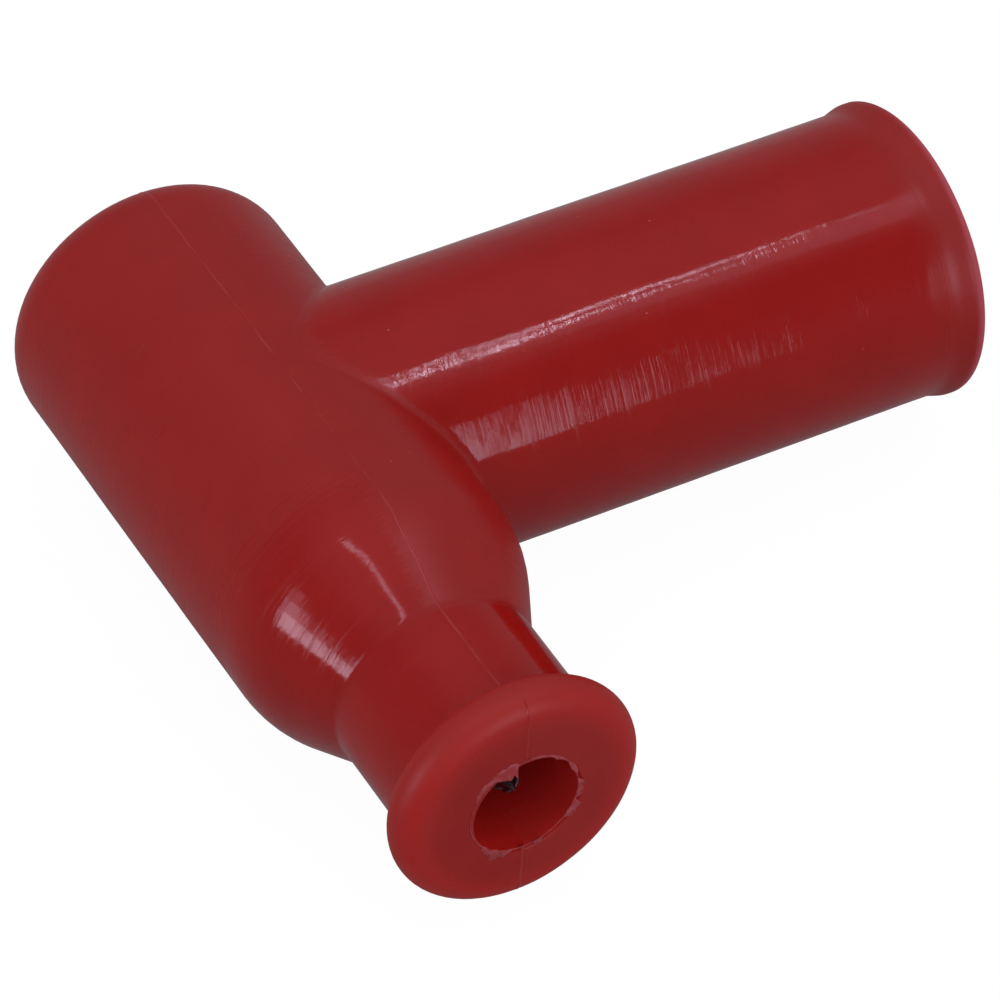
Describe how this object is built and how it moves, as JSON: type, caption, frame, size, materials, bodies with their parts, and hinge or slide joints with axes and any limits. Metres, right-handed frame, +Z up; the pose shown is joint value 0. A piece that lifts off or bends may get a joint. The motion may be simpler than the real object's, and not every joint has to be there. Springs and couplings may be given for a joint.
{
  "type": "spark plug cap",
  "caption": "Right-angled silicone spark plug cap: a closed round body with a flanged neck for the ignition lead and a side tube that pushes over the plug.",
  "frame": {"origin": "centre of the bounding box's underside, on the surface that the cap lies on", "axes": "+X along the plug tube to its open mouth, -Y along the neck to the lead's hole, +Z up, square to both bores"},
  "size_m": [0.0534, 0.0492, 0.0191],
  "materials": {
    "silicone": "semi-gloss moulded red silicone rubber",
    "brass": "turned",
    "spring_steel": "drawn wire",
    "plated_steel": "zinc plated, slightly dulled"
  },
  "bodies": {
    "root": {"boot": "silicone", "terminal_socket": "brass", "spring_clip": "spring_steel", "lead_screw": "plated_steel"}
  },
  "joints": []
}
